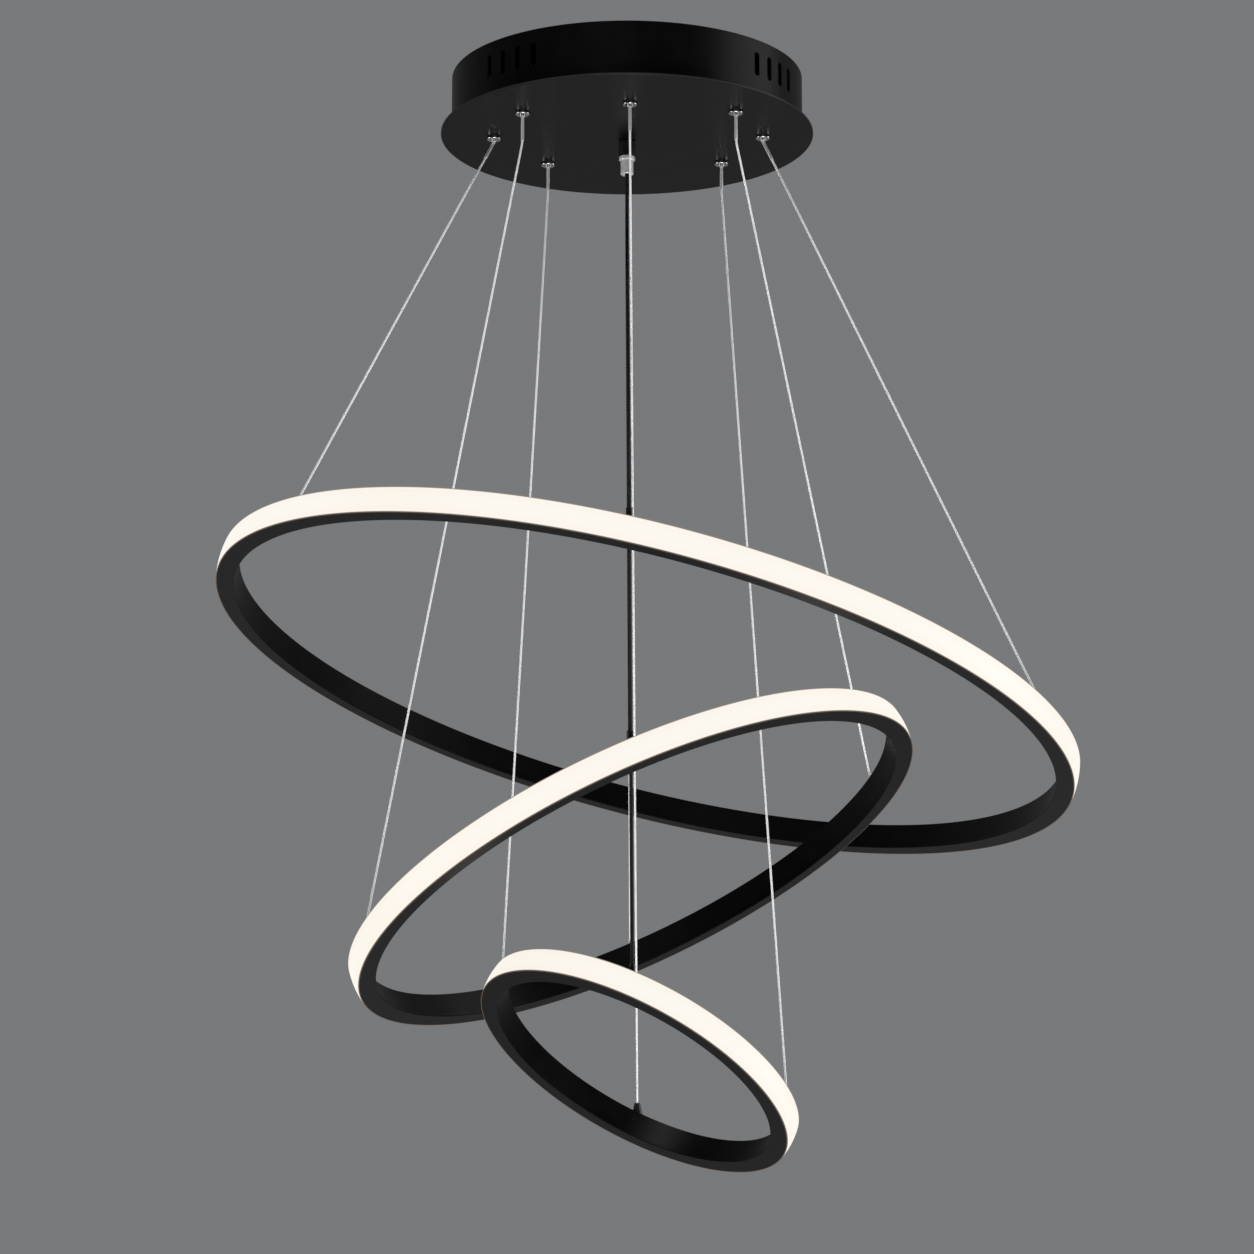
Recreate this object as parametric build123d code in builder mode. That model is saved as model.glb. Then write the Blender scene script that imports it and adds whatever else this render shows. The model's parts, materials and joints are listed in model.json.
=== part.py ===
import math
import os

from build123d import *

# LED ceiling chandelier: three tilted light rings hung on steel wires below a round canopy.
# Millimetres. The origin is the middle of the ceiling face, +Z is up and -Y is the front.
os.makedirs("parts", exist_ok=True)

# Clearances
seat_gap = 0.1
slide_gap = 0.15
thread_gap = 0.1

# Canopy drum and plate
drum_diameter = 244.0
drum_height = 39.5
drum_wall = 1.2
drum_lip = 11.0
plate_diameter = 259.0
plate_thickness = 1.5
plate_chamfer = 0.4
vent_length = 17.0
vent_width = 5.0
vent_pitch = 6.3
vent_drop = 17.4
vent_count = 4
vent_groups = (229.0, 326.0, 49.0, 146.0)

# Ceiling bracket
bracket_width = 24.0
bracket_thickness = 2.0
bracket_tab = 16.0
bracket_end_gap = 0.6
bracket_slot_spacing = 100.0
bracket_slot_length = 18.0
bracket_slot_width = 5.0
supply_hole = 12.0
side_screw = 4.0
side_screw_length = 9.0
side_screw_drop = 10.0

# Studs and nuts inside the canopy
stud_angles = (20.0, 110.0, 200.0, 290.0)
plate_stud = 4.0
plate_stud_length = 9.0
fixing_stud = 3.0
fixing_stud_length = 8.0
nut_ratio = 1.75
nut_height_ratio = 0.8
earth_stud_place = (40.0, -22.0)

# LED driver and terminal block
driver_size = (42.0, 70.0, 21.0)
driver_place = (-40.0, 6.0)
driver_corner = 3.0
driver_foot = 10.0
driver_foot_width = 16.0
driver_foot_thickness = 2.5
terminal_size = (34.0, 18.0, 14.0)
terminal_place = (44.0, 12.0)
terminal_poles = 3
terminal_entry = 3.6
terminal_screw_well = 3.2
terminal_ridge = 6.0

# Cable gland, a little behind the middle of the plate
gland_place = 11.0
gland_shank = 10.0
gland_shank_length = 8.0
gland_body_diameter = 11.6
gland_body_length = 11.0
gland_cap_rim = 11.2
gland_cap_rim_length = 2.6
gland_nose = 9.0
gland_nose_length = 10.7
gland_edge = 0.6
gland_nut_diameter = 16.0
gland_nut_height = 3.0

# Wire grippers and their release plungers, each with a slim guide tube
collar_diameter = 10.0
collar_height = 2.6
collar_edge = 0.8
barrel_diameter = 6.0
barrel_length = 13.0
gripper_nut_height = 3.0
plunger_diameter = 4.0
plunger_out = 1.4
plunger_in = 4.0
plunger_travel = 2.0
plunger_edge = 0.5
tube_diameter = 2.2
tube_length = 17.0
tube_root = 0.8

# Suspension wires and power cables
wire_diameter = 1.5
wire_tail = 6.0
wire_bend = 6.0
wire_drop = 1.0
wire_sides = 6
cable_diameter = 2.5
cable_pitch = 2.6
cable_tail = 6.0
cable_top_run = 45.0
cable_end_run = 12.0
cable_bend_share = 0.45
cable_sides = 8

# Ring profile: a channel that opens outwards, closed by a domed opal diffuser
ring_height = 18.0
channel_depth = 12.0
flange = 1.4
web = 1.5
wall_recess = 0.8
wall_lip = 2.0
diffuser_crown = 1.5
diffuser_edge = 0.5
diffuser_plug = 2.6

# LED strip
strip_width = 8.0
strip_thickness = 0.8
led_size = (0.7, 2.8, 3.5)
led_pitch = 50.0

# Wire anchors and cable sleeves on the rings
anchor_reach = 4.0
anchor_block = (6.2, 8.0, 13.0)
anchor_screw = 2.4
anchor_screw_depth = 3.0
anchor_screw_spacing = 6.4
ferrule_diameter = 2.4
ferrule_height = 5.0
ferrule_tail = 2.0
ferrule_floor = 0.5
cap_base = 7.2
cap_top = 4.0
cap_height = 8.4
cap_skirt = 3.0
sleeve_diameter = 4.2
sleeve_height = 7.0
sleeve_tail = 3.6

# Ring 1, the largest and highest: drop from the ceiling, sideways shift and the two tilts.
# Each wire: gripper place on the plate, anchor angle on the ring, guide tube and end fitting
ring_1_diameter = 600.0
ring_1_drop = 429.5
ring_1_shift = 12.3
ring_1_side_tilt = 14.3
ring_1_front_tilt = -5.3
ring_1_cable_angle = 266.0
ring_1_wires = {
    "left": ((-92.6, 0.2), 214.9, "leaning", "ferrule"),
    "right": ((94.5, -1.9), 332.1, "leaning", "ferrule"),
    "rear": ((0.0, 55.0), 91.2, "plumb", "ferrule"),
}

# Ring 2, the middle one
ring_2_diameter = 410.0
ring_2_drop = 553.5
ring_2_shift = 4.0
ring_2_side_tilt = -24.6
ring_2_front_tilt = -8.8
ring_2_cable_angle = 274.5
ring_2_wires = {
    "left": ((-71.6, -53.3), 200.7, "plumb", "ferrule"),
    "right": ((74.6, -55.4), 24.7, "plumb", "ferrule"),
    "rear": ((0.0, 31.0), 93.4, "plumb", "ferrule"),
}

# Ring 3, the smallest and lowest
ring_3_diameter = 230.0
ring_3_drop = 689.4
ring_3_shift = 7.9
ring_3_side_tilt = 27.7
ring_3_front_tilt = -15.1
ring_3_cable_angle = 257.1
ring_3_wires = {
    "left": ((-55.8, 57.0), 177.6, "plumb", "ferrule"),
    "right": ((66.7, 54.9), 338.1, "plumb", "ferrule"),
    "rear": ((2.0, -73.2), 85.1, "plumb", "cap"),
}

# Values that follow from the driving dimensions
drum_radius = drum_diameter / 2
drum_inner_radius = drum_radius - drum_wall
drum_lip_radius = drum_radius - drum_lip
stud_radius = (drum_inner_radius + drum_lip_radius) / 2
plate_top = -drum_height
plate_under = plate_top - plate_thickness
drum_lip_top = plate_top + drum_wall
collar_under = plate_under - collar_height
plunger_under = collar_under - plunger_out
barrel_top = plate_top + barrel_length
gland_body_under = plate_under - gland_body_length
gland_nose_under = gland_body_under - gland_cap_rim_length - gland_nose_length
gland_shank_top = plate_top + gland_shank_length
ring_top = ring_height / 2
flange_under = ring_top - flange
flange_cut = 2 * flange
wire_radius = wire_diameter / 2
cable_radius = cable_diameter / 2
hanging = (Align.CENTER, Align.CENTER, Align.MAX)
standing = (Align.CENTER, Align.CENTER, Align.MIN)


class Ring:
    def __init__(self, name, diameter, drop, shift, side_tilt, front_tilt, cable_angle, cable_place, wires):
        self.name = name
        self.channel_radius = diameter / 2 - diffuser_crown
        self.inner_radius = self.channel_radius - channel_depth
        self.wall_radius = self.inner_radius + wall_recess
        self.web_radius = self.wall_radius + web
        self.anchor_radius = self.web_radius + anchor_reach
        level = Location((shift, 0, -drop))
        side_turn = Location((0, 0, 0), (0, side_tilt, 0))
        front_turn = Location((0, 0, 0), (front_tilt, 0, 0))
        self.frame = Plane(level * side_turn * front_turn)
        self.axis = Axis(self.frame.origin, self.frame.z_dir)
        self.cable_angle = cable_angle
        self.cable_place = cable_place
        self.wires = wires
        self.angles = sorted(angle for place, angle, tube, end in wires.values())

    def turned(self, angle):
        across = self.frame.x_dir * math.cos(math.radians(angle))
        along = self.frame.y_dir * math.sin(math.radians(angle))
        return Plane(origin=self.frame.origin, x_dir=across + along, z_dir=self.frame.z_dir)

    def section(self, angle=0.0):
        turned = self.turned(angle)
        return Plane(origin=turned.origin, x_dir=turned.x_dir, z_dir=-turned.y_dir)

    def radial(self, angle, radius, height):
        turned = self.turned(angle)
        spot = turned.origin + turned.x_dir * radius + turned.z_dir * height
        return Plane(origin=spot, x_dir=turned.y_dir, z_dir=turned.x_dir)

    def upright(self, angle, height=ring_top):
        turned = self.turned(angle)
        spot = turned.origin + turned.x_dir * self.anchor_radius + turned.z_dir * height
        return Plane(origin=spot, x_dir=turned.x_dir, z_dir=turned.z_dir)

    def wire_corner(self, side):
        place, angle, tube, end = self.wires[side]
        drop = 0.0 if tube == "leaning" else tube_length + wire_drop
        return Vector(*place, plunger_under - drop)

    def wire_axis(self, side):
        seat = self.upright(self.wires[side][1]).origin
        return Plane(origin=seat, z_dir=self.wire_corner(side) - seat)


rings = [
    Ring("ring_1", ring_1_diameter, ring_1_drop, ring_1_shift, ring_1_side_tilt, ring_1_front_tilt,
         ring_1_cable_angle, -cable_pitch, ring_1_wires),
    Ring("ring_2", ring_2_diameter, ring_2_drop, ring_2_shift, ring_2_side_tilt, ring_2_front_tilt,
         ring_2_cable_angle, 0.0, ring_2_wires),
    Ring("ring_3", ring_3_diameter, ring_3_drop, ring_3_shift, ring_3_side_tilt, ring_3_front_tilt,
         ring_3_cable_angle, cable_pitch, ring_3_wires),
]
gripper_places = [wire[0] for ring in rings for wire in ring.wires.values()]
plate_stud_places = [
    (stud_radius * math.cos(math.radians(angle)), stud_radius * math.sin(math.radians(angle)))
    for angle in stud_angles
]
driver_stud_reach = driver_size[1] / 2 + driver_foot / 2
driver_stud_places = [(driver_place[0], driver_place[1] + side * driver_stud_reach) for side in (-1, 1)]
fixing_places = driver_stud_places + [terminal_place, earth_stud_place]
fixing_seats = [driver_foot_thickness, driver_foot_thickness, terminal_size[2] - terminal_ridge, 0.0]


def at_height(places, height):
    return [(x, y, height) for x, y in places]


def keep(piece, name):
    piece.part.label = name
    export_step(piece.part, f"parts/{name}.step")


def swept_tube(points, radii, radius, sides, name):
    with BuildPart() as tube:
        with BuildLine() as route:
            FilletPolyline(*points, radius=radii)
        path = route.wires()[0]
        with BuildSketch(Plane(origin=path @ 0, z_dir=path % 0)):
            section = RegularPolygon(radius, sides)
        sweep(path=path)
    share = tube.part.volume / (section.area * path.length)
    print(f"{name}: length {path.length:.1f}, radii {[round(r, 1) for r in radii]}, volume share {share:.4f}")
    keep(tube, name)


def corner_radius(before, corner, after, share):
    incoming = Vector(corner) - Vector(before)
    outgoing = Vector(after) - Vector(corner)
    half_turn = math.radians(incoming.get_angle(outgoing)) / 2
    return share * min(incoming.length, outgoing.length) / math.tan(half_turn)


# Ceiling bracket: a slotted bar with a bent tab at each end
bracket_reach = math.sqrt(drum_inner_radius**2 - (bracket_width / 2) ** 2) - bracket_end_gap
with BuildPart() as ceiling_bracket:
    with BuildSketch(Plane.XZ) as bar_side:
        with BuildLine():
            Polyline(
                (-bracket_reach, -bracket_tab),
                (-bracket_reach, 0),
                (bracket_reach, 0),
                (bracket_reach, -bracket_tab),
                (bracket_reach - bracket_thickness, -bracket_tab),
                (bracket_reach - bracket_thickness, -bracket_thickness),
                (-bracket_reach + bracket_thickness, -bracket_thickness),
                (-bracket_reach + bracket_thickness, -bracket_tab),
                close=True,
            )
        make_face()
    extrude(amount=bracket_width / 2, both=True)
    with BuildSketch(Plane.XY):
        with GridLocations(bracket_slot_spacing, 0, 2, 1):
            SlotOverall(bracket_slot_length, bracket_slot_width)
        Circle(supply_hole / 2)
    extrude(amount=-bracket_thickness, mode=Mode.SUBTRACT)
    with BuildSketch(Plane.YZ):
        with Locations((0, -side_screw_drop)):
            Circle(side_screw / 2 + thread_gap)
    extrude(amount=bracket_reach, both=True, mode=Mode.SUBTRACT)
keep(ceiling_bracket, "ceiling_bracket")

# Two grub screws that hold the drum to the bracket's tabs
with BuildPart() as bracket_side_screws:
    for side in (-1, 1):
        with BuildSketch(Plane(origin=(side * drum_radius, 0, -side_screw_drop), z_dir=(-side, 0, 0))):
            Circle(side_screw / 2)
        extrude(amount=side_screw_length)
keep(bracket_side_screws, "bracket_side_screws")

# Canopy drum: a thin wall with an inward lip at the bottom and groups of vent slots
vent_angles = [
    group + (step - (vent_count - 1) / 2) * vent_pitch for group in vent_groups for step in range(vent_count)
]
vent_planes = [
    Plane(
        origin=(0, 0, -vent_drop),
        x_dir=(-math.sin(math.radians(angle)), math.cos(math.radians(angle)), 0),
        z_dir=(math.cos(math.radians(angle)), math.sin(math.radians(angle)), 0),
    )
    for angle in vent_angles
]
with BuildPart() as canopy_drum:
    with BuildSketch(Plane.XZ):
        with BuildLine():
            Polyline(
                (drum_radius, 0),
                (drum_radius, plate_top),
                (drum_lip_radius, plate_top),
                (drum_lip_radius, drum_lip_top),
                (drum_inner_radius, drum_lip_top),
                (drum_inner_radius, 0),
                close=True,
            )
        make_face()
    revolve(axis=Axis.Z)
    with BuildSketch(*[plane.offset(drum_inner_radius - drum_wall) for plane in vent_planes]):
        SlotOverall(vent_length, vent_width, rotation=90)
    extrude(amount=3 * drum_wall, mode=Mode.SUBTRACT)
    with Locations(*at_height(plate_stud_places, plate_top)):
        Cylinder(plate_stud / 2 + slide_gap, drum_wall, align=standing, mode=Mode.SUBTRACT)
    with BuildSketch(Plane.YZ):
        with Locations((0, -side_screw_drop)):
            Circle(side_screw / 2 + slide_gap)
    extrude(amount=drum_radius, both=True, mode=Mode.SUBTRACT)
keep(canopy_drum, "canopy_drum")

# Canopy plate: a disc with holes for the grippers and the gland
with BuildPart() as canopy_plate:
    with BuildSketch(Plane.XY.offset(plate_under)):
        Circle(plate_diameter / 2)
    extrude(amount=plate_thickness)
    chamfer(canopy_plate.edges().sort_by(Axis.Z)[0], plate_chamfer)
    with BuildSketch(Plane.XY.offset(plate_under)):
        with Locations((0, gland_place)):
            Circle(gland_shank / 2 + seat_gap)
        with Locations(*gripper_places):
            Circle(barrel_diameter / 2 + seat_gap)
    extrude(amount=plate_thickness, mode=Mode.SUBTRACT)
keep(canopy_plate, "canopy_plate")


def upright_studs(stud, places, lengths, name):
    with BuildPart() as studs:
        for place, length in zip(places, lengths):
            with BuildSketch(Plane.XY.offset(plate_top)):
                with Locations(place):
                    Circle(stud / 2)
            extrude(amount=length)
    keep(studs, name)


def hex_nuts(stud, places, seats, name):
    with BuildPart() as nuts:
        for place, seat in zip(places, seats):
            with BuildSketch(Plane.XY.offset(seat)):
                with Locations(place):
                    RegularPolygon(stud * nut_ratio / 2, 6, major_radius=False)
                    Circle(stud / 2 + thread_gap, mode=Mode.SUBTRACT)
            extrude(amount=stud * nut_height_ratio)
    keep(nuts, name)


# Welded studs on the plate: four clamp the drum's lip, the others hold driver, terminal and earth
stud_count = len(plate_stud_places)
upright_studs(plate_stud, plate_stud_places, [plate_stud_length] * stud_count, "plate_studs")
fixing_lengths = [seat + fixing_stud_length for seat in fixing_seats]
upright_studs(fixing_stud, fixing_places, fixing_lengths, "fixing_studs")
hex_nuts(plate_stud, plate_stud_places, [drum_lip_top] * stud_count, "plate_nuts")
hex_nuts(fixing_stud, fixing_places, [plate_top + seat for seat in fixing_seats], "fixing_nuts")

# LED driver: a moulded box with a screw foot at each end
with BuildPart() as led_driver:
    with BuildSketch(Plane.XY.offset(plate_top)):
        with Locations(driver_place):
            RectangleRounded(driver_size[0], driver_size[1], driver_corner)
    extrude(amount=driver_size[2])
    with BuildSketch(Plane.XY.offset(plate_top)):
        with Locations(driver_place):
            Rectangle(driver_foot_width, driver_size[1] + 2 * driver_foot)
    extrude(amount=driver_foot_thickness)
    with BuildSketch(Plane.XY.offset(plate_top)):
        with Locations(*driver_stud_places):
            Circle(fixing_stud / 2 + slide_gap)
    extrude(amount=driver_foot_thickness, mode=Mode.SUBTRACT)
keep(led_driver, "led_driver")

# Terminal block: stepped body with wire entries at both sides and screw wells on top
terminal_pole_pitch = terminal_size[0] / (terminal_poles + 1)
terminal_low = terminal_size[2] - terminal_ridge
with BuildPart() as terminal_block:
    with BuildSketch(Plane.XY.offset(plate_top)):
        with Locations(terminal_place):
            Rectangle(terminal_size[0], terminal_size[1])
    extrude(amount=terminal_low)
    with BuildSketch(Plane.XY.offset(plate_top + terminal_low)):
        with Locations(terminal_place):
            with GridLocations(0, terminal_size[1] - terminal_ridge, 1, 2):
                Rectangle(terminal_size[0], terminal_ridge)
    extrude(amount=terminal_ridge)
    with BuildSketch(Plane.XY.offset(plate_top + terminal_size[2])):
        with Locations(terminal_place):
            with GridLocations(terminal_pole_pitch, terminal_size[1] - terminal_ridge, terminal_poles, 2):
                Rectangle(terminal_screw_well, terminal_screw_well)
    extrude(amount=-terminal_ridge, mode=Mode.SUBTRACT)
    with BuildSketch(Plane.XZ.offset(-terminal_place[1] - terminal_size[1] / 2)):
        with Locations((terminal_place[0], plate_top + terminal_low / 2)):
            with GridLocations(terminal_pole_pitch, 0, terminal_poles, 1):
                Rectangle(terminal_entry, terminal_entry)
    extrude(amount=terminal_ridge, mode=Mode.SUBTRACT)
    with BuildSketch(Plane.XZ.offset(-terminal_place[1] + terminal_size[1] / 2)):
        with Locations((terminal_place[0], plate_top + terminal_low / 2)):
            with GridLocations(terminal_pole_pitch, 0, terminal_poles, 1):
                Rectangle(terminal_entry, terminal_entry)
    extrude(amount=-terminal_ridge, mode=Mode.SUBTRACT)
    with BuildSketch(Plane.XY.offset(plate_top)):
        with Locations(terminal_place):
            Circle(fixing_stud / 2 + slide_gap)
    extrude(amount=terminal_low, mode=Mode.SUBTRACT)
keep(terminal_block, "terminal_block")

# Cable gland: black body through the plate, locknut inside, chrome cap below
cable_slot_length = 2 * cable_pitch + cable_diameter + 2 * slide_gap
cable_slot_width = cable_diameter + 2 * slide_gap
with BuildPart() as cable_gland_body:
    with Locations((0, gland_place, plate_under)):
        Cylinder(gland_body_diameter / 2, gland_body_length, align=hanging)
    chamfer(cable_gland_body.edges().filter_by(GeomType.CIRCLE).sort_by(Axis.Z)[-1], gland_edge)
    with Locations((0, gland_place, gland_shank_top)):
        Cylinder(gland_shank / 2, gland_shank_top - plate_under, align=hanging)
    with BuildSketch(Plane.XY.offset(gland_shank_top)):
        with Locations((0, gland_place)):
            SlotOverall(cable_slot_length, cable_slot_width, rotation=90)
    extrude(amount=gland_body_under - gland_shank_top, mode=Mode.SUBTRACT)
keep(cable_gland_body, "cable_gland_body")

with BuildPart() as cable_gland_cap:
    with Locations((0, gland_place, gland_body_under)):
        Cylinder(gland_cap_rim / 2, gland_cap_rim_length, align=hanging)
    with Locations((0, gland_place, gland_body_under - gland_cap_rim_length)):
        Cylinder(gland_nose / 2, gland_nose_length, align=hanging)
    rim_edges = cable_gland_cap.edges().filter_by(GeomType.CIRCLE).sort_by(Axis.Z)
    chamfer([rim_edges[0], rim_edges[-1]], gland_edge)
    with BuildSketch(Plane.XY.offset(gland_body_under)):
        with Locations((0, gland_place)):
            SlotOverall(cable_slot_length, cable_slot_width, rotation=90)
    extrude(amount=gland_nose_under - gland_body_under, mode=Mode.SUBTRACT)
keep(cable_gland_cap, "cable_gland_cap")

with BuildPart() as cable_gland_locknut:
    with BuildSketch(Plane.XY.offset(plate_top)):
        with Locations((0, gland_place)):
            RegularPolygon(gland_nut_diameter / 2, 6, major_radius=False)
            Circle(gland_shank / 2 + thread_gap, mode=Mode.SUBTRACT)
    extrude(amount=gland_nut_height)
keep(cable_gland_locknut, "cable_gland_locknut")

# Nuts that hold the wire grippers in the plate
with BuildPart() as gripper_nuts:
    with BuildSketch(Plane.XY.offset(plate_top)):
        with Locations(*gripper_places):
            RegularPolygon(barrel_diameter * nut_ratio / 2, 6, major_radius=False)
            Circle(barrel_diameter / 2 + thread_gap, mode=Mode.SUBTRACT)
    extrude(amount=gripper_nut_height)
keep(gripper_nuts, "gripper_nuts")

# Each ring's grippers, plungers and wires
plunger_length = plunger_out + plunger_in
plunger_pocket = plunger_in + plunger_travel + slide_gap
wire_bore = wire_radius + slide_gap
for ring in rings:
    places = [wire[0] for wire in ring.wires.values()]
    with BuildPart() as grippers:
        with Locations(*at_height(places, plate_under)):
            Cylinder(collar_diameter / 2, collar_height, align=hanging)
        chamfer(grippers.edges().group_by(Axis.Z)[0], collar_edge)
        with Locations(*at_height(places, barrel_top)):
            Cylinder(barrel_diameter / 2, barrel_top - plate_under, align=hanging)
            Cylinder(wire_bore, barrel_top - collar_under, align=hanging, mode=Mode.SUBTRACT)
        with Locations(*at_height(places, collar_under)):
            Cylinder(plunger_diameter / 2 + slide_gap, plunger_pocket, align=standing, mode=Mode.SUBTRACT)
    keep(grippers, f"{ring.name}_grippers")

    for side, (place, angle, tube, end) in ring.wires.items():
        wire_axis = ring.wire_axis(side)
        up = wire_axis.z_dir if tube == "leaning" else Vector(0, 0, 1)
        tube_top = Plane(origin=(*place, plunger_under), z_dir=up)
        with BuildPart() as plunger:
            with Locations((*place, plunger_under)):
                Cylinder(plunger_diameter / 2, plunger_length, align=standing)
            chamfer(plunger.edges().filter_by(GeomType.CIRCLE).sort_by(Axis.Z)[0], plunger_edge)
            with Locations(tube_top.offset(tube_root)):
                Cylinder(tube_diameter / 2, tube_length + tube_root, align=hanging)
                Cylinder(wire_bore, tube_length + tube_root, align=hanging, mode=Mode.SUBTRACT)
            with Locations((*place, plunger_under)):
                Cylinder(wire_bore, plunger_length, align=standing, mode=Mode.SUBTRACT)
        keep(plunger, f"{ring.name}_{side}_plunger")

        wire_points = [
            (*place, barrel_top + wire_tail),
            ring.wire_corner(side),
            wire_axis.origin - wire_axis.z_dir * (ferrule_tail - ferrule_floor - seat_gap),
        ]
        swept_tube(wire_points, [wire_bend], wire_radius, wire_sides, f"{ring.name}_{side}_wire")

# Each ring's power cable, from the gland to the sleeve at the front of the ring
for ring in rings:
    seat = ring.upright(ring.cable_angle).origin
    gland_row = gland_place + ring.cable_place
    cable_points = [
        (0, gland_row, gland_shank_top + cable_tail),
        (0, gland_row, gland_nose_under - cable_top_run),
        seat + Vector(0, 0, sleeve_height + cable_end_run),
        seat - Vector(0, 0, sleeve_tail),
    ]
    gland_exit = (0, gland_row, gland_nose_under)
    sleeve_entry = seat + Vector(0, 0, sleeve_height)
    cable_radii = [
        corner_radius(gland_exit, cable_points[1], cable_points[2], cable_bend_share),
        corner_radius(cable_points[1], cable_points[2], sleeve_entry, cable_bend_share),
    ]
    swept_tube(cable_points, cable_radii, cable_radius, cable_sides, f"{ring.name}_power_cable")

# Each ring's light: channel, diffuser and LED strip
for ring in rings:
    wire_axes = [ring.wire_axis(side) for side in ring.wires]
    sleeve_axis = Plane(origin=ring.upright(ring.cable_angle).origin, z_dir=(0, 0, 1))
    screw_planes = [
        ring.radial(angle, ring.wall_radius, side * anchor_screw_spacing / 2)
        for angle in ring.angles
        for side in (-1, 1)
    ]
    with BuildPart() as channel:
        with BuildSketch(ring.section()):
            with BuildLine():
                Polyline(
                    (ring.channel_radius, -ring_top),
                    (ring.inner_radius, -ring_top),
                    (ring.inner_radius, -ring_top + wall_lip),
                    (ring.wall_radius, -ring_top + wall_lip),
                    (ring.wall_radius, ring_top),
                    (ring.channel_radius, ring_top),
                    (ring.channel_radius, flange_under),
                    (ring.web_radius, flange_under),
                    (ring.web_radius, -flange_under),
                    (ring.channel_radius, -flange_under),
                    close=True,
                )
            make_face()
        revolve(axis=ring.axis)
        with Locations(*wire_axes):
            Cylinder(ferrule_diameter / 2 + seat_gap, 2 * flange_cut, mode=Mode.SUBTRACT)
        with Locations(sleeve_axis):
            Cylinder(sleeve_diameter / 2 + seat_gap, 2 * flange_cut, mode=Mode.SUBTRACT)
        with Locations(*screw_planes):
            Cylinder(anchor_screw / 2 + thread_gap, web, align=standing, mode=Mode.SUBTRACT)
    keep(channel, f"{ring.name}_channel")

    plug_half = flange_under - seat_gap
    with BuildPart() as diffuser:
        with BuildSketch(ring.section()):
            with BuildLine():
                Polyline(
                    (ring.channel_radius + seat_gap + diffuser_edge, ring_top),
                    (ring.channel_radius + seat_gap, ring_top),
                    (ring.channel_radius + seat_gap, plug_half),
                    (ring.channel_radius - diffuser_plug, plug_half),
                    (ring.channel_radius - diffuser_plug, -plug_half),
                    (ring.channel_radius + seat_gap, -plug_half),
                    (ring.channel_radius + seat_gap, -ring_top),
                    (ring.channel_radius + seat_gap + diffuser_edge, -ring_top),
                )
                ThreePointArc(
                    (ring.channel_radius + seat_gap + diffuser_edge, -ring_top),
                    (ring.channel_radius + diffuser_crown, 0),
                    (ring.channel_radius + seat_gap + diffuser_edge, ring_top),
                )
            make_face()
        revolve(axis=ring.axis)
    keep(diffuser, f"{ring.name}_diffuser")

    strip_radius = ring.web_radius + seat_gap
    strip_break = math.degrees((anchor_block[1] / 2 + led_size[1]) / strip_radius)
    with BuildPart() as led_strip:
        led_planes = []
        for number, angle in enumerate(ring.angles):
            following = ring.angles[(number + 1) % len(ring.angles)]
            first = angle + strip_break
            span = (following - angle) % 360 - 2 * strip_break
            with BuildSketch(ring.section(first)):
                with Locations((strip_radius + strip_thickness / 2, 0)):
                    Rectangle(strip_thickness, strip_width)
            revolve(axis=ring.axis, revolution_arc=span)
            led_count = int(math.radians(span) * strip_radius / led_pitch)
            for step in range(led_count):
                led_angle = first + span * (step + 0.5) / led_count
                led_planes.append(ring.radial(led_angle, strip_radius + strip_thickness, 0))
        with Locations(*led_planes):
            Box(led_size[1], led_size[2], 2 * led_size[0])
    keep(led_strip, f"{ring.name}_led_strip")

    # Wire ends in line with the wires: slim ferrules through the flange, one under a tapered cap
    ferrule_length = ferrule_height + ferrule_tail
    with BuildPart() as wire_ends:
        for side, (place, angle, tube, end) in ring.wires.items():
            wire_axis = ring.wire_axis(side)
            reach = ferrule_height
            if end == "cap":
                reach = cap_height
                skirt_base = cap_base / 2 + (cap_base - cap_top) / 2 * cap_skirt / cap_height
                with BuildPart(mode=Mode.PRIVATE) as cap:
                    with Locations(wire_axis.offset(cap_height)):
                        Cone(skirt_base, cap_top / 2, cap_height + cap_skirt, align=hanging)
                    split(bisect_by=ring.upright(angle))
                add(cap.part)
            with Locations(wire_axis.offset(ferrule_height)):
                Cylinder(ferrule_diameter / 2, ferrule_length, align=hanging)
            with Locations(wire_axis.offset(reach)):
                Cylinder(
                    wire_radius + seat_gap,
                    reach + ferrule_tail - ferrule_floor,
                    align=hanging,
                    mode=Mode.SUBTRACT,
                )
    keep(wire_ends, f"{ring.name}_wire_nipples")

    block_radius = ring.web_radius + seat_gap
    block_middle = flange_under - seat_gap - anchor_block[2] / 2
    ferrule_hole = 2 * (ferrule_tail + seat_gap)
    screw_hole_depth = anchor_screw_depth + seat_gap
    with BuildPart() as blocks:
        with Locations(*[ring.radial(angle, block_radius, block_middle) for angle in ring.angles]):
            Box(anchor_block[1], anchor_block[2], anchor_block[0], align=standing)
        with Locations(*wire_axes):
            Cylinder(ferrule_diameter / 2 + seat_gap, ferrule_hole, mode=Mode.SUBTRACT)
        with Locations(*[plane.offset(web + seat_gap) for plane in screw_planes]):
            Cylinder(anchor_screw / 2 + thread_gap, screw_hole_depth, align=standing, mode=Mode.SUBTRACT)
    keep(blocks, f"{ring.name}_anchor_blocks")

    with BuildPart() as screws:
        with Locations(*[plane.offset(seat_gap) for plane in screw_planes]):
            Cylinder(anchor_screw / 2, web + anchor_screw_depth, align=standing)
    keep(screws, f"{ring.name}_anchor_screws")

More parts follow.
